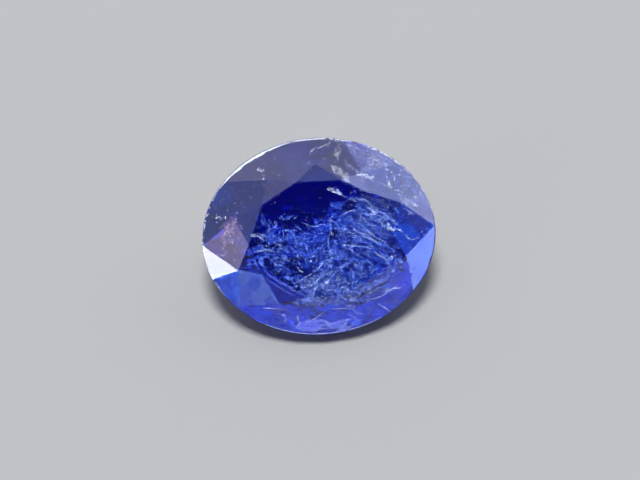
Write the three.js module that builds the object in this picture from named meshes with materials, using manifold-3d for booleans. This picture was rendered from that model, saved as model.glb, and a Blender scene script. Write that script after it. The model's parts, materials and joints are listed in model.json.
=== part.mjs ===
// An oval tanzanite of about 12 by 10 mm, cut and polished. The crown is an oval brilliant with ten
// kites; the pavilion is cut in three steps that end in a short keel. The stone lies on one facet of
// its lowest step, so that its table leans over to the front.

import * as THREE from 'three';
import { mergeVertices } from 'three/addons/utils/BufferGeometryUtils.js';
import Module from 'manifold-3d';

const wasm = await Module();
wasm.setup();

// Driving dimensions, in millimetres.
const LENGTH = 12.0;
const WIDTH = 10.1;
const CROWN_HEIGHT = 1.42; // from the girdle's upper edge to the table
const GIRDLE_THICKNESS = 0.38; // at the kites' tips, where it is thickest
const TABLE_SHARE = 0.615; // how far out the table's corners lie, as a share of the girdle's oval
const STAR_DROP = 0.27; // how far down the star facets reach, as a share of the crown's height

// The ten kites, each with the direction of its tip on the girdle and of its corner on the table, in
// degrees round the oval from its right end. They are a little uneven, as in a stone cut by hand.
const KITES = [
  { tip: 1, corner: 1 },
  { tip: 43, corner: 43 },
  { tip: 74, corner: 70 },
  { tip: 106, corner: 106 },
  { tip: 141, corner: 141 },
  { tip: 180, corner: 180 },
  { tip: 221, corner: 212 },
  { tip: 254, corner: 254 },
  { tip: 286, corner: 286 },
  { tip: 321, corner: 321 },
];

// The pavilion's steps from the girdle down: the slope of each in degrees, and the depth it takes up.
// The lowest step ends where its facets meet, above the depth given here.
const STEPS = [
  { slope: 58, depth: 1.1 },
  { slope: 47, depth: 1.15 },
  { slope: 38, depth: 4 },
];
const REST_DIRECTION = 270; // the stone lies on the lowest step's facet in this direction

// Small nicks in the edge between crown and girdle: where each is, and its size.
const NICKS = [
  { direction: 341, length: 0.4, depth: 0.12 },
  { direction: 319, length: 0.3, depth: 0.1 },
  { direction: 314, length: 0.24, depth: 0.08 },
];

const OUTLINE_STEPS = 7; // straight pieces of the outline between a kite's tip and the next middle
const LAP_SIZE = 40; // the block that grinds a facet away, far larger than the stone

const halfLength = LENGTH / 2;
const halfWidth = WIDTH / 2;
const crownEdge = GIRDLE_THICKNESS / 2; // the girdle's middle is at height 0
const tableHeight = crownEdge + CROWN_HEIGHT;
const up = new THREE.Vector3(0, 0, 1);

// The ten spans of the crown, each from one kite to the next.
const spans = KITES.map((from, k) => {
  const lap = k + 1 < KITES.length ? 0 : 360;
  const next = KITES[(k + 1) % KITES.length];
  const to = { tip: next.tip + lap, corner: next.corner + lap };
  return { from, to, middle: (from.tip + to.tip) / 2 };
});

// A point on the girdle's oval, or on a smaller oval of the same form.
function ovalPoint(degrees, height, share = 1) {
  const angle = THREE.MathUtils.degToRad(degrees);
  const x = share * halfLength * Math.cos(angle);
  const y = share * halfWidth * Math.sin(angle);
  return new THREE.Vector3(x, y, height);
}

// The level direction that runs along the oval at a point of it.
function alongOval(degrees) {
  const angle = THREE.MathUtils.degToRad(degrees);
  return new THREE.Vector3(-halfLength * Math.sin(angle), halfWidth * Math.cos(angle), 0).normalize();
}

// The plane through three points, facing away from the stone's middle.
function facetThrough(a, b, c) {
  const plane = new THREE.Plane().setFromCoplanarPoints(a, b, c);
  return plane.constant > 0 ? plane.negate() : plane;
}

// The point where three planes meet.
function meetingPoint(a, b, c) {
  const rows = new THREE.Matrix3().set(
    ...a.normal.toArray(),
    ...b.normal.toArray(),
    ...c.normal.toArray(),
  );
  return new THREE.Vector3(-a.constant, -b.constant, -c.constant).applyMatrix3(rows.invert());
}

// A kite runs from its tip on the girdle up to its corner of the table.
function kiteFacet({ tip, corner }) {
  const foot = ovalPoint(tip, crownEdge);
  return facetThrough(foot, foot.clone().add(alongOval(tip)), ovalPoint(corner, tableHeight, TABLE_SHARE));
}

// Each span has a star under the table's edge and two facets that stand on the girdle. All three
// meet the kites at the star's lower point.
function facetsOfSpan({ from, to, middle }) {
  const starLevel = new THREE.Plane(up, STAR_DROP * CROWN_HEIGHT - tableHeight);
  const starPoint = meetingPoint(kiteFacet(from), kiteFacet(to), starLevel);
  const [first, second] = [from, to].map(({ corner }) => ovalPoint(corner, tableHeight, TABLE_SHARE));
  const girdleMiddle = ovalPoint(middle, crownEdge);
  return [
    facetThrough(first, second, starPoint),
    facetThrough(starPoint, ovalPoint(from.tip, crownEdge), girdleMiddle),
    facetThrough(starPoint, girdleMiddle, ovalPoint(to.tip, crownEdge)),
  ];
}

// The steps of the pavilion in one direction. Each starts where the one above it ends.
function stepFacets(direction) {
  const along = alongOval(direction);
  const outward = new THREE.Vector3(along.y, -along.x, 0);
  const start = ovalPoint(direction, -crownEdge);
  return STEPS.map(({ slope, depth }) => {
    const angle = THREE.MathUtils.degToRad(slope);
    const normal = outward.clone().multiplyScalar(Math.sin(angle)).setZ(-Math.cos(angle));
    const facet = new THREE.Plane().setFromNormalAndCoplanarPoint(normal, start);
    start.addScaledVector(outward, -depth / Math.tan(angle)).setZ(start.z - depth);
    return facet;
  });
}

// Ten stacks of step facets lie under the middles of the spans. The top step has ten more facets,
// under the kites' tips, so that it follows the oval.
function pavilionFacets() {
  const underTips = KITES.map(({ tip }) => stepFacets(tip)[0]);
  return [...underTips, ...spans.flatMap(({ middle }) => stepFacets(middle))];
}

function solidFrom(geometry) {
  const bare = geometry.clone();
  bare.deleteAttribute('normal');
  bare.deleteAttribute('uv');
  const merged = mergeVertices(bare);
  return new wasm.Manifold(
    new wasm.Mesh({
      numProp: 3,
      vertProperties: new Float32Array(merged.attributes.position.array),
      triVerts: new Uint32Array(merged.index.array),
    }),
  );
}

function geometryFrom(solid) {
  const mesh = solid.getMesh();
  const geometry = new THREE.BufferGeometry();
  geometry.setAttribute('position', new THREE.BufferAttribute(mesh.vertProperties, 3));
  geometry.setIndex(new THREE.BufferAttribute(mesh.triVerts, 1));
  geometry.computeVertexNormals();
  return geometry;
}

// The blank: an upright block with the girdle's outline.
function blank() {
  const stretches = spans.flatMap(({ from, middle, to }) => [[from.tip, middle], [middle, to.tip]]);
  const points = stretches.flatMap(([start, end]) =>
    Array.from({ length: OUTLINE_STEPS }, (_, i) => {
      const { x, y } = ovalPoint(start + ((end - start) * i) / OUTLINE_STEPS, 0);
      return new THREE.Vector2(x, y);
    }),
  );
  const outline = new THREE.Shape(points);
  const block = new THREE.ExtrudeGeometry(outline, { depth: 2 * WIDTH, bevelEnabled: false });
  return solidFrom(block.translate(0, 0, -WIDTH));
}

// Grinds away all that stands out of a facet's plane.
function grind(stone, facet) {
  const turn = new THREE.Quaternion().setFromUnitVectors(up, facet.normal);
  const middle = facet.coplanarPoint(new THREE.Vector3()).addScaledVector(facet.normal, LAP_SIZE / 2);
  const lap = new THREE.BoxGeometry(LAP_SIZE, LAP_SIZE, LAP_SIZE).applyQuaternion(turn);
  return stone.subtract(solidFrom(lap.translate(middle.x, middle.y, middle.z)));
}

// Knocks a small chip out of the edge between crown and girdle.
function nick(stone, { direction, length, depth }) {
  const along = alongOval(direction);
  const edge = ovalPoint(direction, crownEdge);
  const chip = new THREE.IcosahedronGeometry(1, 0).scale(length / 2, depth, depth);
  chip.rotateZ(Math.atan2(along.y, along.x)).translate(edge.x, edge.y, edge.z);
  return stone.subtract(solidFrom(chip));
}

function cutStone() {
  const table = new THREE.Plane(up, -tableHeight);
  const facets = [table, ...KITES.map(kiteFacet), ...spans.flatMap(facetsOfSpan), ...pavilionFacets()];
  return NICKS.reduce(nick, facets.reduce(grind, blank()));
}

// Lays the stone on its rest facet, with its long axis along X, the middle of its box over the
// origin and its lowest point at height 0.
function layDown(mesh) {
  const restFacet = stepFacets(REST_DIRECTION).at(-1);
  mesh.quaternion.setFromUnitVectors(restFacet.normal, up.clone().negate());
  mesh.updateMatrixWorld();
  const box = new THREE.Box3().setFromObject(mesh, true);
  const middle = box.getCenter(new THREE.Vector3());
  mesh.position.set(-middle.x, -middle.y, -box.min.z);
}

const tanzanite = new THREE.Mesh(
  geometryFrom(cutStone()),
  new THREE.MeshStandardMaterial({ color: 0x3a3f9e, roughness: 0.05, metalness: 0 }),
);
tanzanite.name = 'tanzanite';
layDown(tanzanite);

const group = new THREE.Group();
group.add(tanzanite);

export default group;
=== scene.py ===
"""Looks for the oval tanzanite. The clear stone is dressed from the CAD solid, and its inclusions are
meshes inside it. It lies on a plain pale floor, in the soft light of a room that has brighter and
darker patches.

Lengths are in millimetres until they reach a mesh. Places in the stone are given on the table: x to
the right along the oval's long axis, y up the table's slope, and the depth below the table."""

import json
import math
import random

import bmesh
import bpy
import numpy as np
from mathutils import Matrix, Vector, noise

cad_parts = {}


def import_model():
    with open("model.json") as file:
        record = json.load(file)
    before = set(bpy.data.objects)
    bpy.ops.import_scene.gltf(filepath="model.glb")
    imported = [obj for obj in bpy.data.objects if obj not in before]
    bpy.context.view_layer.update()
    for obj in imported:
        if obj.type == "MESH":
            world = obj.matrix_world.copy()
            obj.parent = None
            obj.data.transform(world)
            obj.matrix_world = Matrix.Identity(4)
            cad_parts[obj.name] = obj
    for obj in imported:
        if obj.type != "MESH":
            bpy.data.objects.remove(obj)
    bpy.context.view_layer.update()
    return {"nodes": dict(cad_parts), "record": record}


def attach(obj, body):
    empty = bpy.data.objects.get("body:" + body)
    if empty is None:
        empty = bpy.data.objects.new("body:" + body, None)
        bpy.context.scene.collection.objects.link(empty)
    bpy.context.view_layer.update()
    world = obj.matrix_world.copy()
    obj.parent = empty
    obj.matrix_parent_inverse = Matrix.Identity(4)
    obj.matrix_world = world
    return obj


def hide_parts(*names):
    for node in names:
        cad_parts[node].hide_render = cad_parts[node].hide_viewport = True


MM = 0.001

# Each kind of inclusion and of painted film has random draws of its own.
KINDS = ("veils", "feathers", "strands", "flakes", "streaks")
KINDS += ("painted_shade_pools", "rim", "specks", "stains_and_painted_light", "fibres")
FIRST_SEED = 7
SEEDS = {kind: FIRST_SEED + i for i, kind in enumerate(KINDS)}

# The stone, in millimetres. The table's place and slope come from the record's mount.
GIRDLE_BELOW_TABLE = 1.61
SKIN = 0.05  # inclusions end this far under the stone's surface
NEAR_SKIN = 0.02  # and fibres and streaks this far

# The camera looks at the girdle's middle, a little off the picture's middle.
CAMERA_AZIMUTH = -5.46  # degrees from the front, below 0 to the left
CAMERA_ELEVATION = 56.4
CAMERA_DISTANCE = 156.0
CAMERA_LENS = 170.7
CAMERA_NEAR_END = 0.01  # metres
AIM_SHIFT = (0.046, -0.195)  # right and up in the picture, from the girdle's middle

# What light loses in each millimetre of the stone, for red, green and blue.
ABSORPTION_PER_MM = (0.40, 0.29, 0.02)
ABSORPTION_MARGIN = 1.1  # keeps each part of the absorption's colour above 0
TANZANITE_IOR = 1.695

# The girdle is ground, not polished: its least roughness, and how much more its grain adds.
GIRDLE_ROUGHNESS = 0.3
GIRDLE_GRAIN = 0.4
GRAINS_PER_MM = 6.0

FLOOR_GAP = 0.01  # under the stone, so that the two faces don't coincide
FLOOR_HALF_SIZE = 3.0  # metres
FLOOR_COLOUR = (0.143, 0.145, 0.143)
FLOOR_ROUGHNESS = 0.9
FLOOR_GLOSS = 0.1

# The facets of the solid. A normal's rise is its share along the table's normal.
SAME_PLACE = 1e-6  # metres
SAME_FACET = 0.3  # degrees
SMALLEST_FACET = 1e-8  # square metres
GIRDLE_RISE = 0.1  # at most
CROWN_RISE = 0.2  # at least
TABLE_RISE = 0.99  # at least

FIRST_COLOUR, SECOND_COLOUR, MIXED_COLOUR = 6, 7, 2  # a mix node's sockets for colours


def direction(azimuth, elevation):
    """A unit vector. Azimuth 0 is the front, from where the camera looks, and 90 is the right."""
    turn = math.radians(azimuth)
    rise = math.radians(elevation)
    return Vector((math.sin(turn) * math.cos(rise), -math.cos(turn) * math.cos(rise), math.sin(rise)))


class Nodes:
    """Short calls for making a node tree."""

    def __init__(self, tree):
        self.tree = tree

    def add(self, kind, **values):
        node = self.tree.nodes.new(kind)
        for name, value in values.items():
            setattr(node, name, value)
        return node

    def feed(self, value, socket):
        """A socket's output is linked, and a plain value is set."""
        if isinstance(value, bpy.types.NodeSocket):
            self.tree.links.new(value, socket)
        else:
            socket.default_value = value

    def math(self, operation, a, b=0.0):
        node = self.add("ShaderNodeMath", operation=operation)
        self.feed(a, node.inputs[0])
        self.feed(b, node.inputs[1])
        return node.outputs[0]

    def fade(self, value, low, high):
        """0 up to low, 1 from high on, and a soft step between them."""
        node = self.add("ShaderNodeMapRange", interpolation_type="SMOOTHSTEP")
        self.feed(value, node.inputs["Value"])
        node.inputs["From Min"].default_value = low
        node.inputs["From Max"].default_value = high
        return node.outputs["Result"]

    def mix(self, share, a, b):
        node = self.add("ShaderNodeMix", data_type="RGBA")
        self.feed(share, node.inputs["Factor"])
        self.feed(a, node.inputs[FIRST_COLOUR])
        self.feed(b, node.inputs[SECOND_COLOUR])
        return node.outputs[MIXED_COLOUR]

    def noise(self, scale, detail=4.0):
        """Noise in the object's own space. The scale is the number of lumps in each millimetre."""
        place = self.add("ShaderNodeTexCoord").outputs["Object"]
        node = self.add("ShaderNodeTexNoise")
        self.feed(place, node.inputs["Vector"])
        node.inputs["Scale"].default_value = scale / MM
        node.inputs["Detail"].default_value = detail
        return node.outputs["Fac"]


# ---------------------------------------------------------------- light

SKY = (1.5, 1.46, 1.6)
SKY_LOW = (1.5, 1.5, 1.6)
SKY_FROM = 0.8  # the rise from which the sky has its own colour
LIGHT_MAP_SIZE = 1024

# Soft round patches in the room round the stone: azimuth, elevation, radius, softness, colour. Each
# lies over those before it.
SHADES = {
    "room in front": (3, 40, 44, 8, (0.02, 0.025, 0.2)),
    "room on the right": (66, 30, 19, 4, (0.03, 0.035, 0.2)),
    "room on the left": (-93, 27, 13, 5, (0.5, 0.55, 0.8)),
    "upper left": (-105, 48, 9, 4, (0.66, 0.77, 1.25)),
    "high on the left": (-88, 62, 9, 4, (0.8, 0.85, 1.1)),
    "sky behind": (175, 57, 20, 6, (1.2, 1.27, 1.33)),
    "ceiling": (150, 86, 18, 5, (0.5, 0.62, 0.95)),
    "low wall behind": (180, 0, 50, 10, (0.8, 0.8, 0.9)),
}
# A row of patches makes a low strip.
STRIP_BEHIND = [(azimuth, 25, 9, 4, (1.6, 1.6, 1.7)) for azimuth in range(126, 235, 18)]
LIGHTS = {
    "lamp overhead": (-30, 85, 7.5, 1.5, (160, 160, 163)),
    "wall in front": (6, 12, 9, 3, (2.0, 2.1, 2.6)),
    "wall on the front right": (45, 7, 9, 3, (3.6, 3.7, 4.2)),
    "wall on the far left": (-50, 12, 9, 4, (2.4, 2.4, 2.6)),
    "window on the right": (110, 44, 18, 6, (2.05, 2.25, 2.6)),
    "room above the window": (82, 54, 9, 3, (0.05, 0.06, 0.25)),
    "wall on the left": (-66, 22, 9, 5, (2.4, 2.1, 2.6)),
    "window on the left": (-65.5, 3, 5, 2, (12, 12.6, 13)),
}
PATCHES = [*SHADES.values(), *STRIP_BEHIND, *LIGHTS.values()]


def room_light():
    world = bpy.data.worlds.new("Room")
    bpy.context.scene.world = world
    world.use_nodes = True
    nodes = Nodes(world.node_tree)
    world.node_tree.nodes.clear()
    towards = nodes.add("ShaderNodeTexCoord").outputs["Generated"]
    split = nodes.add("ShaderNodeSeparateXYZ")
    nodes.feed(towards, split.inputs[0])
    height = nodes.fade(split.outputs["Z"], 0.0, SKY_FROM)
    colour = nodes.mix(height, (*SKY_LOW, 1), (*SKY, 1))
    for azimuth, elevation, radius, softness, tint in PATCHES:
        dot = nodes.add("ShaderNodeVectorMath", operation="DOT_PRODUCT")
        nodes.feed(towards, dot.inputs[0])
        dot.inputs[1].default_value = direction(azimuth, elevation)
        edge = math.cos(math.radians(radius + softness))
        full = math.cos(math.radians(max(radius - softness, 0)))
        colour = nodes.mix(nodes.fade(dot.outputs["Value"], edge, full), colour, (*tint, 1))
    background = nodes.add("ShaderNodeBackground")
    nodes.feed(colour, background.inputs["Color"])
    output = nodes.add("ShaderNodeOutputWorld")
    nodes.feed(background.outputs[0], output.inputs["Surface"])
    world.cycles.sampling_method = "MANUAL"
    world.cycles.sample_map_resolution = LIGHT_MAP_SIZE


def place_camera(middle):
    back = direction(CAMERA_AZIMUTH, CAMERA_ELEVATION)
    turn = back.to_track_quat("Z", "Y")
    aim = middle + (turn @ Vector((*AIM_SHIFT, 0))) * MM
    data = bpy.data.cameras.new("Camera")
    data.lens = CAMERA_LENS
    data.clip_start = CAMERA_NEAR_END
    camera = bpy.data.objects.new("Camera", data)
    bpy.context.scene.collection.objects.link(camera)
    camera.rotation_euler = turn.to_euler()
    camera.location = aim + back * CAMERA_DISTANCE * MM
    bpy.context.scene.camera = camera


def floor_material():
    material = bpy.data.materials.new("pale floor")
    material.use_nodes = True
    shader = material.node_tree.nodes["Principled BSDF"]
    shader.inputs["Base Color"].default_value = (*FLOOR_COLOUR, 1)
    shader.inputs["Roughness"].default_value = FLOOR_ROUGHNESS
    shader.inputs["Specular IOR Level"].default_value = FLOOR_GLOSS
    return material


def add_floor():
    size = FLOOR_HALF_SIZE
    mesh = bpy.data.meshes.new("floor")
    corners = [(-size, -size), (size, -size), (size, size), (-size, size)]
    mesh.from_pydata([(x, y, -FLOOR_GAP * MM) for x, y in corners], [], [(0, 1, 2, 3)])
    mesh.materials.append(floor_material())
    floor = bpy.data.objects.new("floor", mesh)
    bpy.context.scene.collection.objects.link(floor)


# ---------------------------------------------------------------- the clear stone


def stone_material():
    """Polished and clear, with a ground girdle."""
    material = bpy.data.materials.new("tanzanite")
    material.use_nodes = True
    nodes = Nodes(material.node_tree)
    shader = material.node_tree.nodes["Principled BSDF"]
    shader.inputs["Base Color"].default_value = (1, 1, 1, 1)
    shader.inputs["IOR"].default_value = TANZANITE_IOR
    shader.inputs["Transmission Weight"].default_value = 1.0
    girdle = nodes.add("ShaderNodeAttribute", attribute_name="girdle").outputs["Fac"]
    grain = nodes.math("MULTIPLY", nodes.noise(GRAINS_PER_MM), GIRDLE_GRAIN)
    ground = nodes.math("ADD", GIRDLE_ROUGHNESS, grain)
    nodes.feed(nodes.math("MULTIPLY", girdle, ground), shader.inputs["Roughness"])
    strongest = max(ABSORPTION_PER_MM) * ABSORPTION_MARGIN
    volume = nodes.add("ShaderNodeVolumeAbsorption")
    volume.inputs["Color"].default_value = (*[1 - a / strongest for a in ABSORPTION_PER_MM], 1)
    volume.inputs["Density"].default_value = strongest / MM
    output = material.node_tree.nodes["Material Output"]
    nodes.feed(volume.outputs[0], output.inputs["Volume"])
    return material


def stone_mesh(node, up_from_table):
    form = bmesh.new()
    form.from_mesh(node.data)
    bmesh.ops.remove_doubles(form, verts=form.verts, dist=SAME_PLACE)
    limit = math.radians(SAME_FACET)
    bmesh.ops.dissolve_limit(form, angle_limit=limit, verts=form.verts[:], edges=form.edges[:])
    for face in form.faces:
        face.smooth = False
    mesh = bpy.data.meshes.new("stone")
    form.to_mesh(mesh)
    form.free()
    girdle = mesh.attributes.new("girdle", "FLOAT", "FACE")
    upright = [float(abs(face.normal.dot(up_from_table)) < GIRDLE_RISE) for face in mesh.polygons]
    girdle.data.foreach_set("value", upright)
    mesh.materials.append(stone_material())
    return mesh


def add_piece(name, mesh):
    piece = bpy.data.objects.new(name, mesh)
    bpy.context.scene.collection.objects.link(piece)
    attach(piece, "root")
    return piece


# ---------------------------------------------------------------- inclusions and films of painted light and shade


class Interior:
    """The stone's inside. Turns places under the table into the frame, and tells what is inside."""

    def __init__(self, mesh, table_middle, up_from_table):
        along = Vector((1, 0, 0))
        up_slope = up_from_table.cross(along)
        self.axes = np.array([along, up_slope, up_from_table])
        self.middle = np.array(table_middle)
        corners = np.array([vertex.co for vertex in mesh.vertices])
        faces = [face for face in mesh.polygons if face.area > SMALLEST_FACET]
        normals = np.array([face.normal for face in faces])
        offsets = np.array([face.normal.dot(face.center) for face in faces])
        hull = (corners @ normals.T).max(axis=0) < offsets + SAME_PLACE  # without the nicks' faces
        self.normals = normals[hull]
        self.offsets = offsets[hull]
        self.facets = [(np.array(face.normal), corners[list(face.vertices)]) for face in faces]
        self.reach = np.abs((corners - self.middle) @ self.axes.T).max(axis=0) / MM

    def place(self, points):
        """Rows of x, y and depth below the table, in millimetres, as rows in the frame."""
        points = np.array([tuple(p) for p in points]) * np.array((1, 1, -1)) * MM
        return self.middle + points @ self.axes

    def holds(self, places, skin=SKIN):
        """True for each row in the frame that is inside the stone, away from its surface."""
        return ((places @ self.normals.T) < self.offsets - skin * MM).all(axis=1)

    def under(self, x, y, depth):
        """A place this deep under the crown's surface."""
        start = self.place([(x, y, 0)])[0]
        rise = self.normals @ self.axes[2]
        above = rise > CROWN_RISE
        crown = (self.normals[above] @ start - self.offsets[above]) / rise[above] / MM
        return Vector((x, y, crown.max() + depth))

    def crown_facets(self, depth):
        """For each crown facet, its outline moved this far into the stone, in the frame, and where it
        is: degrees round the oval from the right end, and how far out as a share of the oval."""
        for normal, ring in self.facets:
            if CROWN_RISE < normal @ self.axes[2] < TABLE_RISE:
                middle = ring.mean(axis=0)
                x, y = (self.axes @ (middle - self.middle))[:2] / MM / self.reach[:2]
                moved = middle + (ring - middle) * HAZE_AND_PAINTED_REFLECTION_SIZE - normal * depth * MM
                yield moved, math.degrees(math.atan2(y, x)) % 360, math.hypot(x, y)


SEED_SHIFT = (7.3, 3.1, 5.7)  # between the noise of two neighbouring seeds


def lumps(points, size, seed):
    """Smooth noise from about -1 to 1 at each row, with lumps of this size."""
    shift = Vector([seed * part for part in SEED_SHIFT])
    size = np.array(size)
    return np.array([noise.noise(Vector(p) + shift) for p in points / size])


def mesh_of(name, places, faces, material, inside):
    """A mesh of the faces whose corners are all inside."""
    faces = [corners for corners in faces if all(inside[i] for i in corners)]
    used = sorted({i for corners in faces for i in corners})
    order = {old: new for new, old in enumerate(used)}
    mesh = bpy.data.meshes.new(name)
    mesh.from_pydata([tuple(places[i]) for i in used], [], [[order[i] for i in f] for f in faces])
    mesh.materials.append(material)
    return mesh


class Gathering:
    """Collects the faces of many small forms, given under the table, for one piece."""

    def __init__(self):
        self.points = []
        self.faces = []

    def add(self, points, faces):
        start = len(self.points)
        self.points += [tuple(point) for point in points]
        self.faces += [tuple(start + i for i in corners) for corners in faces]

    def add_film(self, ring):
        self.add(ring, [range(len(ring))])

    def piece(self, name, material, interior, skin=SKIN):
        places = interior.place(self.points)
        add_piece(name, mesh_of(name, places, self.faces, material, interior.holds(places, skin)))


# The looks of the inclusions and of the painted films: pale and deep colour, roughness, large patches in
# each millimetre, gloss and metal.
LOOKS = {
    "healed fracture": ((0.26, 0.48, 1.0), (0.012, 0.04, 0.36), 0.35, 2.0),
    "feather": ((0.42, 0.66, 1.0), (0.02, 0.07, 0.5), 0.25, 3.0),
    "strand": ((0.85, 1.0, 1.0), (0.06, 0.16, 0.75), 0.2, 3.0),
    "fibre": ((0.68, 0.85, 1.0), (0.2, 0.4, 1.0), 0.2, 4.0, 0.3),
    "soft fibre": ((0.7, 0.82, 1.0), (0.4, 0.54, 1.0), 0.3, 4.0, 0.2),
    "faint fibre": ((0.26, 0.34, 0.95), (0.08, 0.13, 0.7), 0.3, 4.0, 0.2),
    "silvery film": ((0.95, 0.97, 1.0), (0.6, 0.7, 1.0), 0.12, 4.0, 1.0, 1.0),
    "film": ((0.6, 0.8, 1.0), (0.08, 0.18, 0.8), 0.2, 4.0),
    "sparkle": ((0.85, 0.97, 1.0), (0.35, 0.6, 1.0), 0.3, 4.0, 0.3),
    # Painted shade, in small dark films.
    "painted shade flake": ((0.004, 0.01, 0.16), (0.001, 0.002, 0.06), 0.6, 5.0, 0.0),
    "bright film": ((0.9, 0.97, 1.0), (0.6, 0.75, 1.0), 0.15, 4.0),
    # Painted shade, for the dark gaps between the fractures.
    "painted shade film": ((0.004, 0.01, 0.16), (0.001, 0.002, 0.06), 0.6, 5.0, 0.0),
    # Pale ground edge, with a painted highlight where it is widest.
    "ground edge and painted highlight": ((1.0, 1.0, 1.0), (0.65, 0.75, 0.95), 0.6, 1.5),
    "speck": ((1.0, 1.0, 1.0), (0.5, 0.6, 0.9), 0.5, 2.2),
}
SMALL_PATCHES = 5  # small patches in each large one's length
LARGE_PATCH_EDGES = (0.38, 0.62)  # where the noise turns from deep to pale
SMALL_PATCH_EDGES = (0.38, 0.64)


def patchy_material(name, pale, deep, roughness, patches_per_mm, gloss=1.0, metal=0.0):
    """Deep and pale patches of two sizes, for the healed fractures and also for the films of painted
    shade, painted reflection and painted light.
    """
    material = bpy.data.materials.new(name)
    material.use_nodes = True
    nodes = Nodes(material.node_tree)
    shader = material.node_tree.nodes["Principled BSDF"]
    large = nodes.fade(nodes.noise(patches_per_mm), *LARGE_PATCH_EDGES)
    small = nodes.fade(nodes.noise(patches_per_mm * SMALL_PATCHES), *SMALL_PATCH_EDGES)
    patches = nodes.math("MULTIPLY", nodes.math("ADD", large, small), 0.5)
    nodes.feed(nodes.mix(patches, (*deep, 1), (*pale, 1)), shader.inputs["Base Color"])
    shader.inputs["Roughness"].default_value = roughness
    shader.inputs["Specular IOR Level"].default_value = gloss
    shader.inputs["Metallic"].default_value = metal
    return material


def look_of(name):
    return patchy_material(name, *LOOKS[name])


SPREAD = 0.8  # the bell curve's width, as a share of a region's given spread


def place_near(chance, x, y, wide, high):
    """A random place on the table, most often near x and y."""
    return chance.gauss(x, wide * SPREAD), chance.gauss(y, high * SPREAD)


def place_under(chance, x, y, wide, high, shallow, deep):
    return Vector((*place_near(chance, x, y, wide, high), chance.uniform(shallow, deep)))


def mostly_small(chance, smallest, largest):
    """A random size, most often near the smallest."""
    return smallest * (largest / smallest) ** chance.random() ** 2


# Large fracture sheets: middle x, y and depth, length, width, turn on the table, dip, how much
# longer than wide their streaks are, and the share that is kept.
VEILS = {
    "left": (-1.9, -0.6, 2.0, 3.4, 2.2, -15, 12, 2, 0.3),
    "centre": (0.3, -1.1, 2.3, 3.6, 3.2, -50, -14, 2, 0.45),
    "left of centre": (-0.7, -0.4, 1.7, 1.7, 1.4, 20, 5, 2, 0.7),
    "right": (2.6, 0.4, 2.0, 4.4, 3.0, -27, 10, 5, 0.42),
    "right below": (2.2, -1.9, 2.1, 3.8, 2.2, -10, -18, 3, 0.45),
    "front": (-0.1, -2.9, 1.7, 4.6, 1.8, -25, 20, 3, 0.45),
    "deep left": (-1.7, -1.2, 3.0, 4.2, 3.0, 10, 10, 2, 0.5),
    "deep right": (2.0, -0.4, 3.2, 5.0, 4.4, -25, -6, 4, 0.7),
    "low front": (0.6, -3.3, 2.0, 5.5, 1.6, 0, 12, 2, 1.3),
    "low right": (3.1, -2.5, 2.0, 2.6, 1.6, 45, 0, 2, 1.3),
}
VEIL_CELL = 0.045

# A sheet's waves: height and size. The swell's are shares of the sheet's width and length.
SWELL = (0.1, 0.45)
FOLDS = (0.22, 0.4)
RIPPLES = (0.06, 0.13)

# Its lace of threads and gaps: sizes, the share of the fine threads, and how wide all of them are.
LACE = 0.25
FINE_LACE = 0.11
FINE_SHARE = 0.35
LACE_WIDTH = 0.55
GAPS = 0.8

# Its ragged outline, as shares of its half length and width, and the lumps in it.
OUTLINE_REACH = 0.92
OUTLINE_LUMPS = 0.3
OUTLINE_LUMP_SIZE = 0.35

# Small feathers, by region: middle x and y, spread across and up, shallowest and deepest, turn,
# wander of the turn, shortest and longest, and count.
FEATHERS = {
    "right fan": (2.6, 0.5, 1.3, 0.9, 0.9, 2.4, -27, 15, 0.3, 1.2, 50),
    "right below": (2.3, -1.8, 1.1, 0.7, 0.8, 2.2, -15, 50, 0.2, 0.8, 40),
    "centre": (0.4, -1.2, 0.9, 1.0, 0.7, 2.4, -50, 70, 0.2, 0.8, 60),
    "left": (-2.0, -0.6, 0.9, 0.7, 0.7, 2.2, -25, 60, 0.2, 0.8, 50),
    "front": (-0.2, -2.7, 1.2, 0.5, 0.6, 1.6, -38, 25, 0.3, 1.0, 45),
    "cloud on the right": (2.1, -1.3, 1.3, 0.9, 0.5, 1.3, 0, 90, 0.15, 0.42, 110),
    "cloud in the middle": (0.9, 0.0, 0.8, 0.8, 0.5, 1.4, 0, 90, 0.15, 0.4, 40),
    "cloud on the left": (-2.0, 0.3, 0.8, 0.4, 0.5, 1.3, 0, 90, 0.15, 0.4, 60),
}
FEATHER_CELL = 0.03
FEATHER_WIDTH = (0.2, 0.6)  # shares of its length
FEATHER_DIP = 50  # at most
FEATHER_STREAK = 3
FEATHER_SHARE = 0.8


def sheet_points(chance, middle, length, width, turn, dip, cell, streak):
    """A crumpled sheet as a grid of rows under the table, with its flat form and columns."""
    columns = max(int(length / cell), 3)
    rows = max(int(width / cell), 3)
    across, up = np.meshgrid(np.linspace(-0.5, 0.5, columns), np.linspace(-0.5, 0.5, rows))
    flat = np.stack([across.ravel() * length, up.ravel() * width, np.zeros(across.size)], axis=1)
    seed = chance.randint(1, 999)
    long_lumps = np.array((streak, 1, 1))
    rise = SWELL[0] * width * lumps(flat, SWELL[1] * length, seed)
    rise += FOLDS[0] * np.abs(lumps(flat, FOLDS[1] * long_lumps, seed + 1))
    rise += RIPPLES[0] * lumps(flat, RIPPLES[1] * long_lumps, seed + 2)
    bent = flat + np.outer(rise, (0, 0, 1))
    tilt = Matrix.Rotation(math.radians(turn), 3, "Z") @ Matrix.Rotation(math.radians(dip), 3, "X")
    return bent @ np.array(tilt).T + np.array(middle), flat, columns, rows


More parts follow.
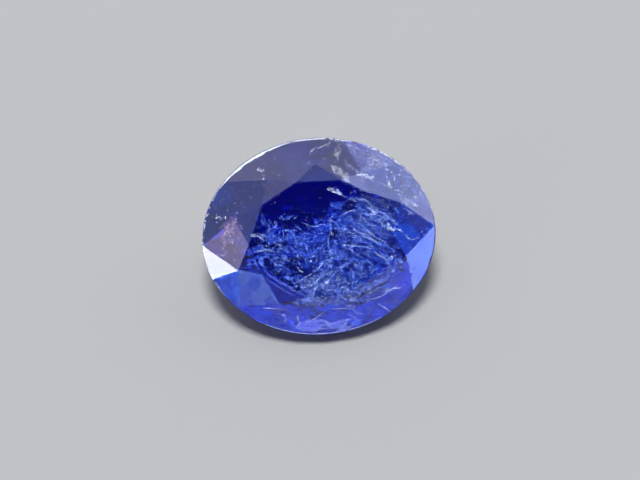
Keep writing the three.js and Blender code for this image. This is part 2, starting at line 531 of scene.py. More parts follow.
def kept_cells(flat, columns, rows, length, width, streak, share, seed):
    """The cells of a sheet that are left inside its ragged outline, between the healed gaps."""
    long_lumps = np.array((streak, 1, 1))
    lace = np.abs(lumps(flat, LACE * long_lumps, seed + 3))
    lace += FINE_SHARE * np.abs(lumps(flat, FINE_LACE * long_lumps, seed + 4))
    gaps = lumps(flat, GAPS * long_lumps ** 0.5, seed + 5)
    reach = np.hypot(flat[:, 0] / length, flat[:, 1] / width) * 2
    outline = reach + OUTLINE_LUMPS * lumps(flat, OUTLINE_LUMP_SIZE, seed + 6) < OUTLINE_REACH
    kept = (lace < share * LACE_WIDTH * (1 + gaps)) & outline
    faces = []
    for row in range(rows - 1):
        for column in range(columns - 1):
            corner = row * columns + column
            if kept[corner]:
                faces.append((corner, corner + 1, corner + columns + 1, corner + columns))
    return faces


def gather_sheet(gathering, chance, middle, length, width, turn, dip, cell, streak, share):
    points, flat, columns, rows = sheet_points(chance, middle, length, width, turn, dip, cell, streak)
    cells = kept_cells(flat, columns, rows, length, width, streak, share, chance.randint(1, 999))
    gathering.add(points, cells)


def add_veils(interior):
    chance = random.Random(SEEDS["veils"])
    veils = Gathering()
    for x, y, depth, length, width, turn, dip, streak, share in VEILS.values():
        gather_sheet(veils, chance, (x, y, depth), length, width, turn, dip, VEIL_CELL, streak, share)
    veils.piece("veils", look_of("healed fracture"), interior)


def add_feathers(interior):
    chance = random.Random(SEEDS["feathers"])
    feathers = Gathering()
    for x, y, wide, high, shallow, deep, turn, wander, shortest, longest, count in FEATHERS.values():
        for _ in range(count):
            middle = place_under(chance, x, y, wide, high, shallow, deep)
            length = chance.uniform(shortest, longest)
            width = length * chance.uniform(*FEATHER_WIDTH)
            facing = turn + chance.uniform(-wander, wander)
            dip = chance.uniform(-FEATHER_DIP, FEATHER_DIP)
            form = (length, width, facing, dip, FEATHER_CELL, FEATHER_STREAK, FEATHER_SHARE)
            gather_sheet(feathers, chance, middle, *form)
    feathers.piece("feathers", look_of("feather"), interior)


# Bundles of fine strands: middle x and y, spread across and up, shallowest and deepest, turn,
# wander of the turn, bend on each step in degrees, fewest and most steps, and bundles.
STRANDS = {
    "right fan": (2.2, 0.7, 1.3, 0.8, 0.5, 1.9, -12, 12, -1.6, 8, 30, 60),
    "right low": (2.3, -1.8, 1.2, 0.7, 0.6, 2.0, -15, 60, 0, 4, 14, 34),
    "centre": (0.4, -1.1, 0.8, 0.9, 0.5, 2.2, -60, 90, 0, 3, 12, 44),
    "left": (-2.0, -0.6, 0.9, 0.6, 0.5, 2.0, -20, 90, 0, 3, 12, 44),
    "front": (-0.3, -2.5, 0.9, 0.45, 0.4, 1.4, -40, 18, 0.5, 5, 20, 46),
    "lace": (-0.5, -2.2, 0.6, 0.4, 0.3, 0.9, -45, 90, 0, 3, 9, 70),
    "low front": (0.8, -3.7, 1.6, 0.3, 0.6, 1.5, -8, 30, 0, 4, 16, 12),
    "top right": (2.4, 1.7, 0.8, 0.4, 0.9, 2.4, -20, 30, 0, 3, 10, 10),
    "scribble": (2.4, -2.75, 0.5, 0.2, 0.2, 0.7, 25, 60, 0, 3, 7, 44),
}
STRAND_STEP = 0.05
STRANDS_IN_BUNDLE = (3, 8)
BUNDLE_WIDTH = 0.06
BUNDLE_DIP = 0.4  # at most, down for each step along
BEND_SPREAD = 1.5  # degrees
WANDER = 0.05  # radians, on each step
STRAND_RADIUS = (0.004, 0.015)
STRAND_SIDES = 3
STRAND_TIP = 0.4  # the point of a strand lies this part of a step beyond its end


def bundle_path(chance, start, turn, bend, steps):
    """A wandering line of points, each with its heading."""
    point = Vector(start)
    heading = math.radians(turn)
    dip = chance.uniform(-BUNDLE_DIP, BUNDLE_DIP)
    curl = math.radians(chance.gauss(bend, BEND_SPREAD))
    path = []
    for _ in range(steps + 1):
        path.append((point.copy(), heading))
        heading += curl + chance.gauss(0, WANDER)
        point += Vector((math.cos(heading), math.sin(heading), dip)) * STRAND_STEP
    return path


def gather_strand(gathering, path, shift, rise, radius):
    """A thin strand beside a path, pointed at both ends."""
    points = []
    last = len(path) - 1
    for i, (middle, heading) in enumerate(path):
        girth = radius * math.sin(math.pi * (i + STRAND_TIP) / (last + 2 * STRAND_TIP))
        sideways = Vector((-math.sin(heading), math.cos(heading), 0))
        for corner in range(STRAND_SIDES):
            angle = corner * math.tau / STRAND_SIDES
            offset = sideways * math.cos(angle) + Vector((0, 0, math.sin(angle)))
            points.append(middle + sideways * shift + Vector((0, 0, rise)) + offset * girth)
    faces = []
    for i in range(last):
        for corner in range(STRAND_SIDES):
            a = i * STRAND_SIDES + corner
            b = i * STRAND_SIDES + (corner + 1) % STRAND_SIDES
            faces.append((a, b, b + STRAND_SIDES, a + STRAND_SIDES))
    gathering.add(points, faces)


def add_strands(interior):
    chance = random.Random(SEEDS["strands"])
    strands = Gathering()
    for x, y, wide, high, shallow, deep, turn, wander, bend, fewest, most, bundles in STRANDS.values():
        for _ in range(bundles):
            start = place_under(chance, x, y, wide, high, shallow, deep)
            facing = turn + chance.uniform(-wander, wander)
            path = bundle_path(chance, start, facing, bend, chance.randint(fewest, most))
            for _ in range(chance.randint(*STRANDS_IN_BUNDLE)):
                first = chance.randint(0, len(path) // 2)
                last = chance.randint(first + 2, len(path))
                shift = chance.gauss(0, BUNDLE_WIDTH)
                rise = chance.gauss(0, BUNDLE_WIDTH)
                gather_strand(strands, path[first:last], shift, rise, chance.uniform(*STRAND_RADIUS))
    strands.piece("strands", look_of("strand"), interior)


# Long fibres that stand out: the places that each runs through.
FIBRES = {
    "fan 1": ((1.0, 1.0), (1.6, 1.3), (2.2, 1.2), (2.9, 0.7), (3.6, 0.1)),
    "fan 2": ((1.9, 0.75), (2.3, 0.3), (2.9, -0.2), (3.5, -0.5)),
    "fan 3": ((1.1, -0.05), (1.8, 0.0), (2.5, -0.25), (3.2, -0.75)),
    "fan 4": ((2.55, 1.4), (3.3, 1.0), (3.95, 0.35)),
    "fan 5": ((1.6, 0.4), (2.05, 0.1), (2.7, -0.15)),
    "fan 6": ((3.15, 0.5), (3.7, 0.25), (4.2, 0.0)),
    "fan 7": ((1.4, 1.8), (1.95, 1.95), (2.5, 1.7), (3.0, 1.25)),
    "crack": ((1.0, -0.45), (1.8, -0.55), (2.5, -0.75), (2.9, -1.1), (3.3, -1.35), (3.7, -1.35)),
    "right kite": ((4.2, -0.15), (4.5, -0.4), (4.9, -0.45), (5.2, -0.3)),
    "front curl": ((0.65, -2.8), (0.9, -3.15), (1.3, -3.3), (1.7, -3.3)),
    "lace 1": ((-1.4, -2.15), (-0.85, -1.85), (-0.35, -1.6), (0.0, -1.2)),
    "lace 2": ((-1.2, -2.55), (-0.6, -2.25), (-0.05, -1.9)),
    "lace 3": ((-0.75, -2.9), (-0.3, -2.4), (0.25, -2.2)),
    "left arc": ((-2.75, 0.55), (-2.4, 0.75), (-2.2, 1.1)),
    "left line": ((-3.45, -0.45), (-3.0, -0.35), (-2.35, -0.5)),
    "upright": ((0.45, 0.3), (0.3, -0.3), (0.4, -0.95), (0.2, -1.55)),
    "upright above": ((0.7, 1.15), (0.5, 0.65), (0.55, 0.1)),
    "wisp": ((-1.0, 0.9), (-0.4, 0.65), (0.25, 0.7)),
}
FRONT_FIBRES = {
    "front line": ((-3.25, -1.0), (-2.7, -1.75), (-1.7, -2.45), (-0.85, -3.0), (0.15, -3.4)),
    "front line below": ((-3.05, -1.7), (-2.4, -2.3), (-1.45, -2.9), (-0.55, -3.2)),
}
LOW_FIBRES = {
    "low far left": ((-3.3, -3.36), (-2.39, -3.47), (-1.49, -3.73)),
    "low left of middle": ((-1.48, -3.58), (-1.45, -3.93), (-1.38, -4.3)),
    "low curve": ((-2.3, -3.63), (-2.06, -3.95), (-2.09, -4.25)),
    "low middle": ((0.03, -3.77), (-0.39, -4.0), (-0.81, -4.23), (-1.13, -4.36)),
    "low line": ((-0.06, -3.62), (1.26, -3.75), (1.65, -4.03), (3.16, -4.28)),
    "low line above": ((0.87, -3.52), (1.27, -3.6), (1.57, -3.72)),
    "low right of middle": ((1.04, -3.99), (1.38, -4.22), (1.72, -4.49)),
    "low right end": ((2.69, -3.64), (3.08, -3.92), (3.37, -4.19)),
    "low right": ((1.9, -3.33), (2.72, -3.28), (3.45, -2.97), (4.01, -2.91)),
}
# The pieces: name, fibres, look, strands in each fibre, and the bundle's width.
FIBRE_PIECES = (
    ("fibres", FIBRES, "fibre", 9, 0.03),
    ("front_fibres", FRONT_FIBRES, "faint fibre", 12, 0.03),
    ("low_fibres", LOW_FIBRES, "soft fibre", 14, 0.014),
)
FIBRE_DEPTH = (0.04, 0.07)
FIBRE_RADIUS = (0.005, 0.016)
FIBRE_STEPS = 7  # between two places
FIBRE_WOBBLE = 0.012
FIBRE_RISE = 0.01
FEWEST_STEPS = 4  # in a strand


def smooth_line(corners, steps):
    """Points on a smooth curve through the corners, by the formula of Catmull and Rom."""
    ends = [corners[0] * 2 - corners[1], *corners, corners[-1] * 2 - corners[-2]]
    points = []
    for before, start, end, after in zip(ends, ends[1:], ends[2:], ends[3:]):
        for i in range(steps):
            t = i / steps
            bend = (end - before) * t + (before * 2 - start * 5 + end * 4 - after) * t**2
            points.append(start + (bend + (start * 3 - before - end * 3 + after) * t**3) / 2)
    return [*points, corners[-1]]


def gather_fibre(gathering, chance, interior, corners, count, width):
    """A loose bundle of short strands along a curve under the surface."""
    depth = chance.uniform(*FIBRE_DEPTH)
    line = smooth_line([interior.under(x, y, depth) for x, y in corners], FIBRE_STEPS)
    path = []
    for before, here, after in zip([line[0], *line], line, [*line[1:], line[-1]]):
        ahead = after - before
        wobble = Vector((chance.gauss(0, FIBRE_WOBBLE), chance.gauss(0, FIBRE_WOBBLE), 0))
        path.append((here + wobble, math.atan2(ahead.y, ahead.x)))
    most_steps = max(len(path) // 2, FEWEST_STEPS + 1)
    for _ in range(count):
        first = chance.randint(0, len(path) * 3 // 4)
        last = min(first + chance.randint(FEWEST_STEPS, most_steps), len(path))
        shift = chance.gauss(0, width)
        rise = chance.gauss(0, FIBRE_RISE)
        gather_strand(gathering, path[first:last], shift, rise, chance.uniform(*FIBRE_RADIUS))


def add_fibres(interior):
    chance = random.Random(SEEDS["fibres"])
    for name, lines, look, count, width in FIBRE_PIECES:
        fibres = Gathering()
        for corners in lines.values():
            gather_fibre(fibres, chance, interior, corners, count, width)
        fibres.piece(name, look_of(look), interior, NEAR_SKIN)


# Small films: middle x and y, spread across and up, shallowest and deepest, smallest and largest,
# and count.
FLAKES = {
    "whole": (0.3, -0.7, 2.4, 1.5, 0.6, 3.0, 0.015, 0.06, 1800),
    "front": (0.2, -2.7, 1.4, 0.6, 0.5, 1.6, 0.03, 0.1, 300),
    "right": (3.0, 0.4, 1.2, 0.9, 0.5, 2.0, 0.03, 0.08, 260),
    "left": (-2.3, -0.3, 0.8, 0.7, 0.5, 1.8, 0.03, 0.08, 260),
    "upper": (-0.6, 1.9, 1.4, 0.6, 0.8, 3.0, 0.01, 0.03, 60),
    "near": (0.3, -0.7, 2.4, 1.3, 0.12, 0.6, 0.014, 0.04, 900),
    "near the lace": (-0.6, -2.1, 0.6, 0.45, 0.12, 0.5, 0.014, 0.045, 160),
}
GLINTS = {
    "whole": (0.3, -0.9, 2.3, 1.3, 0.3, 2.0, 0.02, 0.07, 700),
    "front": (-0.2, -2.4, 0.9, 0.5, 0.3, 1.2, 0.03, 0.1, 320),
    "right": (2.8, 0.5, 1.2, 0.8, 0.3, 1.5, 0.03, 0.09, 140),
}
SPARKLES = {
    "right": (2.4, 0.2, 1.4, 0.9, 0.06, 0.3, 0.02, 0.08, 240),
    "front": (0.8, -2.0, 1.6, 0.8, 0.06, 0.3, 0.02, 0.09, 280),
    "left": (-1.8, -0.5, 1.1, 0.8, 0.06, 0.3, 0.018, 0.06, 90),
    "right kite": (4.15, -0.3, 0.35, 0.5, 0.05, 0.12, 0.015, 0.05, 130),
    "low front": (0.2, -3.6, 1.6, 0.3, 0.04, 0.08, 0.01, 0.035, 160),
}
# Small dark films that deepen the dark gaps between the fractures: painted shade.
PAINTED_SHADE_FLAKES = {
    "front": (0.8, -1.9, 1.8, 0.8, 0.25, 0.7, 0.025, 0.09, 300),
    "left": (-2.0, -0.5, 0.9, 0.7, 0.25, 0.7, 0.025, 0.09, 120),
    "right": (2.6, 0.3, 1.2, 0.8, 0.25, 0.7, 0.02, 0.06, 90),
}
# The pieces: name, regions and look.
FLAKE_PIECES = (
    ("flakes", FLAKES, "film"),
    ("glints", GLINTS, "silvery film"),
    ("sparkles", SPARKLES, "sparkle"),
    ("painted_shade_flakes", PAINTED_SHADE_FLAKES, "painted shade flake"),
)
FILM_TILT = 0.9  # radians, at most
FILM_CORNERS = (5, 8)
FILM_STRETCH = (0.25, 1)  # the width, as a share of the length
FILM_REACH = (0.55, 1.0)  # how far out a corner lies, as a share of the size


def film(chance, middle, size, tilt=FILM_TILT, turn=None, stretch=None):
    """A small tilted film with an uneven outline."""
    lean = Matrix.Rotation(chance.uniform(-tilt, tilt), 3, "X")
    lean = lean @ Matrix.Rotation(chance.uniform(-tilt, tilt), 3, "Y")
    corners = chance.randint(*FILM_CORNERS)
    turn = chance.uniform(0, math.tau) if turn is None else turn
    stretch = chance.uniform(*FILM_STRETCH) if stretch is None else stretch
    ring = []
    for corner in range(corners):
        angle = corner * math.tau / corners
        reach = size * chance.uniform(*FILM_REACH)
        along = reach * math.cos(angle)
        across = reach * math.sin(angle) * stretch
        flat = Vector((along * math.cos(turn) - across * math.sin(turn),
                       along * math.sin(turn) + across * math.cos(turn), 0))
        ring.append(middle + lean @ flat)
    return ring


def add_flakes(interior):
    for name, regions, look in FLAKE_PIECES:
        chance = random.Random(SEEDS["flakes"])
        films = Gathering()
        for x, y, wide, high, shallow, deep, smallest, largest, count in regions.values():
            for _ in range(count):
                middle = place_under(chance, x, y, wide, high, shallow, deep)
                films.add_film(film(chance, middle, mostly_small(chance, smallest, largest)))
        films.piece(name, look_of(look), interior)


# Bright streaks that stand out, just under the surface: from x and y to x and y, and the width.
STREAKS = {
    "top": ((0.64, 2.53), (1.47, 2.07), 0.16),
    "top end": ((1.6, 1.95), (1.9, 1.75), 0.1),
    "right of top": ((2.44, 1.3), (2.83, 1.07), 0.14),
    "far right": ((3.29, 0.43), (4.13, 0.02), 0.16),
    "right kite edge": ((4.4, 1.15), (5.0, 0.66), 0.07),
    "crack end": ((3.4, -1.25), (3.68, -1.3), 0.14),
    "crack 1": ((1.55, -0.48), (2.26, -0.63), 0.03),
    "crack 2": ((2.55, -0.8), (3.13, -1.24), 0.035),
    "fan 1": ((2.64, 1.28), (2.93, 1.06), 0.08),
    "fan 2": ((2.31, 0.13), (2.85, -0.15), 0.03),
    "fan 3": ((3.29, 0.33), (3.88, 0.08), 0.1),
    "fan 4": ((3.89, 0.24), (4.23, -0.09), 0.08),
    "right arc": ((4.37, -0.3), (4.76, -0.53), 0.05),
    "left strokes": ((-3.21, 0.53), (-2.82, 0.36), 0.06),
    "left strokes below": ((-3.13, 0.28), (-2.83, 0.15), 0.05),
    "upper facet 1": ((1.34, 3.1), (1.66, 2.75), 0.12),
    "upper facet 2": ((2.1, 3.1), (2.84, 2.85), 0.12),
    "upper facet 3": ((3.66, 2.42), (3.9, 2.24), 0.09),
    "upper facet 4": ((4.2, 1.85), (4.6, 1.55), 0.05),
    "upper facet 5": ((4.78, 1.5), (5.05, 1.2), 0.07),
    "left 1": ((-3.5, 0.5), (-2.9, 0.2), 0.08),
    "left 2": ((-2.2, -0.1), (-2.0, -0.2), 0.08),
    "glint": ((-1.3, -1.45), (-1.05, -1.6), 0.1),
    "glint on the left": ((-2.5, -0.95), (-2.4, -1.2), 0.06),
    "middle": ((0.55, 0.35), (0.6, 0.05), 0.06),
    "low right 1": ((1.39, -3.24), (1.92, -2.86), 0.04),
    "low right 2": ((2.06, -3.13), (2.74, -2.76), 0.04),
    "low right 3": ((3.13, -2.99), (3.81, -2.78), 0.09),
}
STREAK_DEPTH = 0.05
STREAK_THICKNESS = 0.03
STREAK_STEPS = 14
STREAK_LAYERS = 7  # short thin films side by side in each streak
LAYER_START = (-0.1, 0.8)  # shares of the streak's length, and so is the next
LAYER_LENGTH = (0.15, 0.45)
LAYER_WIDTH = (0.3, 0.8)  # shares of the streak's, and so is the next
LAYER_OFFSET = 0.35
RIBBON_BOW = 0.06  # at most, as a share of its length
RIBBON_WOBBLE = 0.15  # this and the next ones are shares of its width
RIBBON_END = 0.2
RIBBON_WIDTH = (0.3, 1.2)
RIBBON_LEAN = (-0.3, 0.5)


def gather_streak(gathering, chance, interior, start, end, width):
    """A thin ragged ribbon under the surface."""
    (x0, y0), (x1, y1) = start, end
    length = math.hypot(x1 - x0, y1 - y0)
    side = Vector(((y0 - y1) / length, (x1 - x0) / length, 0))
    bow = chance.uniform(-RIBBON_BOW, RIBBON_BOW) * length
    points = []
    for i in range(STREAK_STEPS + 1):
        share = i / STREAK_STEPS
        bulge = math.sin(math.pi * share)
        depth = STREAK_DEPTH + chance.uniform(0, STREAK_THICKNESS)
        middle = interior.under(x0 + (x1 - x0) * share, y0 + (y1 - y0) * share, depth)
        middle += side * (bow * bulge + chance.gauss(0, width * RIBBON_WOBBLE))
        half = width / 2 * (RIBBON_END + (1 - RIBBON_END) * bulge) * chance.uniform(*RIBBON_WIDTH)
        lean = Vector((0, 0, chance.uniform(*RIBBON_LEAN) * half))
        points += [middle - side * half - lean, middle + side * half + lean]
    faces = [(a, a + 2, a + 3, a + 1) for a in range(0, 2 * STREAK_STEPS, 2)]
    gathering.add(points, faces)


def add_streaks(interior):
    chance = random.Random(SEEDS["streaks"])
    streaks = Gathering()
    for start, end, width in STREAKS.values():
        for _ in range(STREAK_LAYERS):
            near = chance.uniform(*LAYER_START)
            far = near + chance.uniform(*LAYER_LENGTH)
            spread = width * LAYER_OFFSET
            offset = Vector((chance.gauss(0, spread), chance.gauss(0, spread)))
            first = Vector(start).lerp(Vector(end), near) + offset
            last = Vector(start).lerp(Vector(end), far) + offset
            gather_streak(streaks, chance, interior, first, last, width * chance.uniform(*LAYER_WIDTH))
    streaks.piece("streaks", look_of("bright film"), interior, NEAR_SKIN)


# Painted shade: clusters of dark films where the stone looks dark between the fractures and under the
# bright streaks. x, y, half length, half width, turn, and how many films.
PAINTED_SHADE_POOLS = {
    "middle": (0.63, 0.14, 0.24, 0.2, 60, 30),
    "middle right": (1.09, 0.57, 0.08, 0.1, 60, 6),
    "left": (-2.01, -0.12, 0.28, 0.14, -15, 14),
    "left below": (-2.8, -1.12, 0.32, 0.2, -50, 30),
    "front left": (-1.6, -1.3, 0.45, 0.15, -35, 30),
    "front": (-0.95, -1.68, 0.5, 0.2, -12, 40),
    "upper right": (1.55, 1.55, 0.28, 0.34, 20, 34),
    "crack": (1.5, -0.5, 0.55, 0.04, -6, 12),
    "right 1": (2.15, -1.2, 0.2, 0.07, 5, 8),
    "right 2": (2.2, -1.55, 0.16, 0.08, 0, 8),
    "low right 1": (1.95, -3.0, 0.3, 0.06, 30, 12),
    "low right 2": (2.6, -2.75, 0.45, 0.07, 28, 16),
    "low right 3": (3.2, -2.45, 0.25, 0.08, 25, 10),
    "under the top streak": (1.8, 2.13, 0.2, 0.2, 0, 14),
    "scribble 1": (1.7, -3.1, 0.3, 0.04, 35, 20),
    "scribble 2": (2.4, -2.95, 0.4, 0.05, 30, 24),
    "scribble 3": (2.95, -2.6, 0.3, 0.05, 28, 16),
}
POOL_DEPTH = 0.22
POOL_THICKNESS = 0.15
POOL_SPREAD = 0.5  # a share of the pool's halves
POOL_FILM_SIZE = (0.2, 0.55)  # shares of the pool's half length
POOL_FILM_STRETCH = (0.6, 1.4)  # shares of the pool's own
POOL_FILM_TILT = 0.3  # radians, also for its turn


def add_painted_shade_pools(interior):
    """Clusters of dark films, drawn out along each pool: painted shade."""
    chance = random.Random(SEEDS["painted_shade_pools"])
    films = Gathering()
    for x, y, long_half, wide_half, turn, count in PAINTED_SHADE_POOLS.values():
        angle = math.radians(turn)
        for _ in range(count):
            along = chance.gauss(0, POOL_SPREAD) * long_half
            across = chance.gauss(0, POOL_SPREAD) * wide_half
            px = x + along * math.cos(angle) - across * math.sin(angle)
            py = y + along * math.sin(angle) + across * math.cos(angle)
            middle = interior.under(px, py, POOL_DEPTH + chance.uniform(0, POOL_THICKNESS))
            size = long_half * chance.uniform(*POOL_FILM_SIZE)
            stretch = min(1.0, wide_half / long_half * chance.uniform(*POOL_FILM_STRETCH))
            facing = angle + chance.gauss(0, POOL_FILM_TILT)
            films.add_film(film(chance, middle, size, POOL_FILM_TILT, facing, stretch))
    films.piece("painted_shade_pools", look_of("painted shade film"), interior)


# Films right under the crown's facets. Their colours stand in for what these facets show, the room's
# reflection and the light seen through the stone, so they are painted reflection and painted light,
# together with some haze and dust. From and to, in degrees round the oval, nearest and farthest out, and
# pale and deep colour.
HAZE_AND_PAINTED_REFLECTION = {
    "haze_and_painted_reflection.left": (145, 176, 0.6, 1, (0.003, 0.025, 0.2), (0.001, 0.008, 0.09)),
    "haze_and_painted_reflection.upper-left": (108, 145, 0.6, 1, (0.006, 0.01, 0.15), (0.002, 0.004, 0.07)),
    "haze_and_painted_reflection.top": (70, 108, 0.6, 1, (0.012, 0.018, 0.17), (0.003, 0.006, 0.08)),
    "haze_and_painted_reflection.top-right": (44, 70, 0.6, 1, (0.11, 0.13, 0.36), (0.04, 0.055, 0.24)),
    "haze_and_painted_reflection.upper-right": (36, 44, 0.7, 0.85, (0.012, 0.04, 0.3), (0.004, 0.018, 0.2)),
    "haze_and_painted_reflection.upper-right-edge": (24, 36, 0.9, 1, (0.08, 0.11, 0.36), (0.04, 0.06, 0.25)),
    "haze_and_painted_reflection.far-right": (6, 24, 0.9, 1, (0.2, 0.24, 0.52), (0.1, 0.12, 0.36)),
    "haze_and_painted_reflection.right": (325, 355, 0.86, 1, (0.32, 0.46, 1.0), (0.2, 0.32, 0.95)),
    "haze_and_painted_reflection.lower-left": (215, 228, 0.7, 0.88, (0.09, 0.18, 0.52), (0.004, 0.04, 0.5)),
    "haze_and_painted_reflection.low-on-the-left": (205, 222, 0.88, 1, (0.015, 0.2, 1.0), (0.001, 0.015, 0.36)),
    "haze_and_painted_reflection.right-kite": (0, 4, 0.7, 0.85, (0.02, 0.09, 0.62), (0.004, 0.016, 0.24)),
    "haze_and_painted_reflection.front": (226, 322, 0.88, 1, (0.012, 0.075, 0.85), (0.003, 0.02, 0.42)),
    "haze_and_painted_reflection.star-on-the-left": (230, 240, 0.6, 0.66, (0.012, 0.03, 0.36), (0.004, 0.012, 0.22)),
}
HAZE_AND_PAINTED_REFLECTION_DEPTH = 0.14
HAZE_AND_PAINTED_REFLECTION_SIZE = 0.985  # of the facet's own, so that neighbours don't touch
HAZE_AND_PAINTED_REFLECTION_FINISH = (0.5, 1.2, 0.05)  # roughness, patches and gloss, as in LOOKS


# Painted reflection and painted light, in films under the crown's facets.
def add_haze_and_painted_reflection(interior):
    for name, (first, last, nearest, farthest, pale, deep) in HAZE_AND_PAINTED_REFLECTION.items():
        places = []
        faces = []
        for ring, angle, reach in interior.crown_facets(HAZE_AND_PAINTED_REFLECTION_DEPTH):
            if first < angle < last and nearest < reach < farthest:
                faces.append(tuple(range(len(places), len(places) + len(ring))))
                places += list(ring)
        material = patchy_material(name, pale, deep, *HAZE_AND_PAINTED_REFLECTION_FINISH)
        add_piece(name, mesh_of(name, places, faces, material, [True] * len(places)))


# Ragged films under the crown, partly real staining and partly painted reflection of the room and
# painted blue light seen through the stone: middle, length and width, turn, share kept, pale and deep
# colour.
STAINS_AND_PAINTED_LIGHT = {
    "stain_and_light.top": ((1.23, 4.25), (0.6, 0.3), 80, 0.9, (0.24, 0.23, 0.3), (0.06, 0.06, 0.14)),
    "stain_and_light.beside-the-star": ((1.16, 3.29), (1.4, 0.4), -32, 0.6, (0.26, 0.26, 0.34), (0.1, 0.1, 0.2)),
    "stain_and_light.right-of-the-star": ((1.7, 3.6), (0.7, 0.3), -62, 0.5, (0.26, 0.26, 0.4), (0.12, 0.14, 0.34)),
    "stain_and_light.left": ((-4.5, 0.7), (1.6, 1.1), 60, 0.5, (0.16, 0.08, 0.24), (0.07, 0.05, 0.22)),
    "stain_and_light.front-left": ((-1.8, -3.7), (2.2, 0.9), -20, 1.6, (0.03, 0.08, 0.9), (0.008, 0.022, 0.42)),
    "stain_and_light.low-right": ((3.97, -2.59), (2.2, 1.3), 60, 1.6, (0.05, 0.1, 0.85), (0.02, 0.035, 0.45)),
    "stain_and_light.low-far-right": ((3.07, -3.95), (1.9, 0.6), 24, 1.4, (0.05, 0.09, 0.7), (0.015, 0.03, 0.35)),
    "stain_and_light.front": ((0.7, -3.97), (6.4, 1.1), 0, 1.6, (0.02, 0.09, 0.95), (0.004, 0.025, 0.42)),
    "stain_and_light.low-left": ((-0.7, -4.52), (2.0, 0.75), 0, 0.8, (0.36, 0.44, 1.0), (0.14, 0.2, 1.0)),
    "stain_and_light.low": ((0.8, -4.6), (1.4, 0.65), 8, 0.8, (0.36, 0.44, 1.0), (0.14, 0.2, 1.0)),
    "stain_and_light.right": ((4.85, 0.5), (2.0, 0.6), -38, 1.5, (0.008, 0.03, 0.34), (0.002, 0.007, 0.15)),
    "stain_and_light.lowest-on-the-left": (
        (-2.17, -3.88), (1.2, 0.3), -20, 0.8, (0.16, 0.22, 0.9), (0.05, 0.08, 0.6)
    ),
}
DEEPEST_STAIN_AND_LIGHT = 0.13
STAIN_AND_LIGHT_LAYER = 0.004  # each stain lies this much above the one before it
STAIN_AND_LIGHT_RISE = 0.005  # of the full waves of a sheet
STAIN_AND_LIGHT_STREAK = 2
STAIN_AND_LIGHT_CELL = 0.035
STAIN_AND_LIGHT_SKIN = 0.01
STAIN_AND_LIGHT_FINISH = (0.5, 1.5, 0.3)  # as HAZE_AND_PAINTED_REFLECTION_FINISH


def add_stains_and_painted_light(interior):
    chance = random.Random(SEEDS["stains_and_painted_light"])
    for layer, (name, stain_and_light_values) in enumerate(STAINS_AND_PAINTED_LIGHT.items()):
        (x, y), (length, width), turn, share, pale, deep = stain_and_light_values
        depth = DEEPEST_STAIN_AND_LIGHT - layer * STAIN_AND_LIGHT_LAYER
        form = (length, width, turn, 0, STAIN_AND_LIGHT_CELL, STAIN_AND_LIGHT_STREAK)
        points, flat, columns, rows = sheet_points(chance, (x, y, 0), *form)
        seed = chance.randint(1, 999)
        cells = kept_cells(flat, columns, rows, length, width, STAIN_AND_LIGHT_STREAK, share, seed)
        # Each film is partly a stain and partly painted reflection and painted light.
        stain = Gathering()
        stain.add([interior.under(px, py, depth + STAIN_AND_LIGHT_RISE * abs(z)) for px, py, z in points], cells)
        material = patchy_material(name, pale, deep, *STAIN_AND_LIGHT_FINISH)
        stain.piece(name, material, interior, STAIN_AND_LIGHT_SKIN)


# The ground edge of the girdle shows as a pale line under the crown. It is drawn widest and whole at the
# upper left, where light falls on the girdle, so there it is also a painted highlight. From and to, in
# degrees round the oval from its right end, the width, and the share that is left.
RIM = {
    "upper left": (100, 146, 0.13, 1),
    "left": (146, 188, 0.08, 0.5),
    "top": (70, 104, 0.07, 0.9),
    "top right": (30, 70, 0.07, 0.45),
    "right": (8, 30, 0.04, 0.7),
    "lower left": (195, 212, 0.05, 0.6),
    "bottom": (238, 300, 0.05, 0.9),
}
RIM_STEP = 0.8  # degrees
RIM_INSET = 0.025
RIM_DEPTH = 0.02
RIM_SKIN = 0.005
RIM_RAGGED = (0.5, 1.1)  # shares of the width


def add_rim(interior):
    chance = random.Random(SEEDS["rim"])
    long_half, wide_half = interior.reach[:2]
    rim = Gathering()
    for first, last, width, left in RIM.values():
        steps = int((last - first) / RIM_STEP)
        points = []
        for i in range(steps + 1):
            angle = math.radians(first + i * RIM_STEP)
            taper = math.sin(math.pi * (i + 0.5) / (steps + 1)) ** 0.5
            inner = RIM_INSET + width * taper * chance.uniform(*RIM_RAGGED)
            for inset in (RIM_INSET, inner):
                x = (long_half - inset) * math.cos(angle)
                y = (wide_half - inset) * math.sin(angle)
                points.append(interior.under(x, y, RIM_DEPTH))
        cells = [(a, a + 2, a + 3, a + 1) for a in range(0, 2 * steps, 2)]
        rim.add(points, [cell for cell in cells if chance.random() < left])
    rim.piece("rim", look_of("ground edge and painted highlight"), interior, RIM_SKIN)


# Specks right under the crown's surface, by region: middle x and y, spread across and up, smallest
# and largest, and count.
SPECKS = {
    "top": (0.0, 4.0, 3.0, 0.5, 0.02, 0.06, 110),
    "upper left": (-3.6, 2.4, 1.2, 0.9, 0.02, 0.06, 70),
    "upper right": (3.4, 2.6, 1.3, 0.8, 0.018, 0.06, 260),
    "left": (-4.6, 0.2, 0.6, 1.0, 0.02, 0.07, 110),
    "right": (5.0, 0.3, 0.4, 1.6, 0.015, 0.06, 60),
    "lower left": (-3.4, -2.6, 0.7, 0.6, 0.012, 0.04, 30),
    "table": (-0.5, 0.8, 1.9, 1.5, 0.01, 0.035, 90),
}
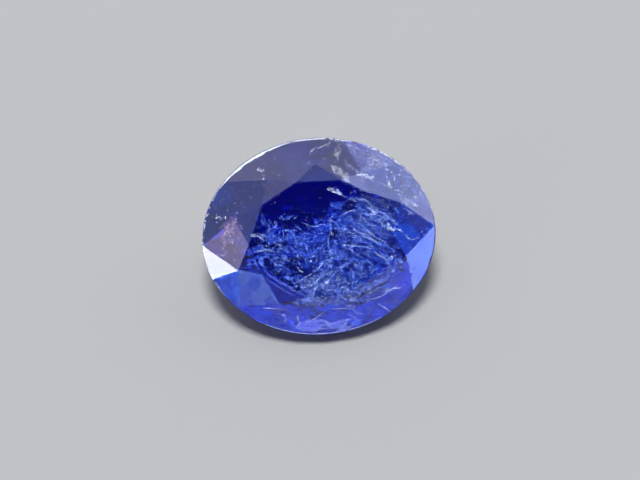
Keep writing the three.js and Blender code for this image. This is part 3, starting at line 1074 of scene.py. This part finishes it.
# Trails of specks: from and to, the width and the count.
SPECK_TRAILS = {
    "lint": ((-0.24, 4.39), (0.96, 4.77), 0.03, 45),
    "lint above the star": ((0.58, 3.63), (1.45, 2.96), 0.05, 12),
    "under the top": ((1.35, 4.49), (1.21, 3.99), 0.05, 14),
    "right of the star": ((2.07, 3.13), (2.97, 2.82), 0.1, 42),
    "near the star": ((1.35, 2.97), (1.54, 2.85), 0.05, 12),
    "right of that": ((3.6, 2.47), (3.99, 2.19), 0.08, 22),
    "farther right": ((4.08, 2.03), (4.65, 1.34), 0.1, 18),
    "far right": ((4.85, 1.37), (5.19, 1.05), 0.05, 22),
    "far right above": ((5.02, 1.62), (5.51, 1.99), 0.04, 20),
    "upper left": ((-2.76, 3.99), (-2.59, 2.76), 0.12, 20),
    "left strokes": ((-5.8, 2.0), (-4.94, 1.13), 0.2, 34),
    "top edge": ((0.97, 4.98), (2.31, 4.33), 0.1, 36),
    "top right edge": ((2.31, 4.33), (4.33, 2.68), 0.12, 50),
}
SPECK_DEPTH = 0.02
SPECK_SKIN = 0.004
SPECK_TILT = 0.4  # radians, at most
TRAIL_SPECK = (0.02, 0.07)


def speck(chance, interior, x, y, size):
    return film(chance, interior.under(x, y, SPECK_DEPTH + size / 2), size, SPECK_TILT)


def add_specks(interior):
    chance = random.Random(SEEDS["specks"])
    specks = Gathering()
    for x, y, wide, high, smallest, largest, count in SPECKS.values():
        for _ in range(count):
            size = mostly_small(chance, smallest, largest)
            px, py = place_near(chance, x, y, wide, high)
            specks.add_film(speck(chance, interior, px, py, size))
    for start, end, width, count in SPECK_TRAILS.values():
        for _ in range(count):
            middle = Vector(start).lerp(Vector(end), chance.random())
            px = chance.gauss(middle.x, width)
            py = chance.gauss(middle.y, width)
            specks.add_film(speck(chance, interior, px, py, chance.uniform(*TRAIL_SPECK)))
    specks.piece("specks", look_of("speck"), interior, SPECK_SKIN)


CLEAR_BOUNCES = 24  # in the stone and off its facets
DIFFUSE_BOUNCES = 4


def set_up_render():
    scene = bpy.context.scene
    scene.view_settings.view_transform = "Standard"
    scene.cycles.use_denoising = True
    scene.cycles.denoising_input_passes = "RGB"  # the others print dots on clear facets
    scene.cycles.max_bounces = CLEAR_BOUNCES
    scene.cycles.transmission_bounces = CLEAR_BOUNCES
    scene.cycles.glossy_bounces = CLEAR_BOUNCES
    scene.cycles.diffuse_bounces = DIFFUSE_BOUNCES


def main():
    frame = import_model()
    table = next(m for m in frame["record"]["mounts"] if m["name"] == "table")
    table_middle = Vector(table["pos_m"])
    up_from_table = Vector(table["axis"]).normalized()
    place_camera(table_middle - up_from_table * GIRDLE_BELOW_TABLE * MM)
    room_light()
    add_floor()
    set_up_render()
    mesh = stone_mesh(frame["nodes"]["tanzanite"], up_from_table)
    stone = add_piece("stone", mesh)
    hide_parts("tanzanite")
    interior = Interior(mesh, table_middle, up_from_table)
    for add_kind in (add_veils, add_feathers, add_strands, add_fibres, add_flakes, add_streaks,
                     add_painted_shade_pools, add_haze_and_painted_reflection, add_stains_and_painted_light, add_rim, add_specks):
        add_kind(interior)


main()
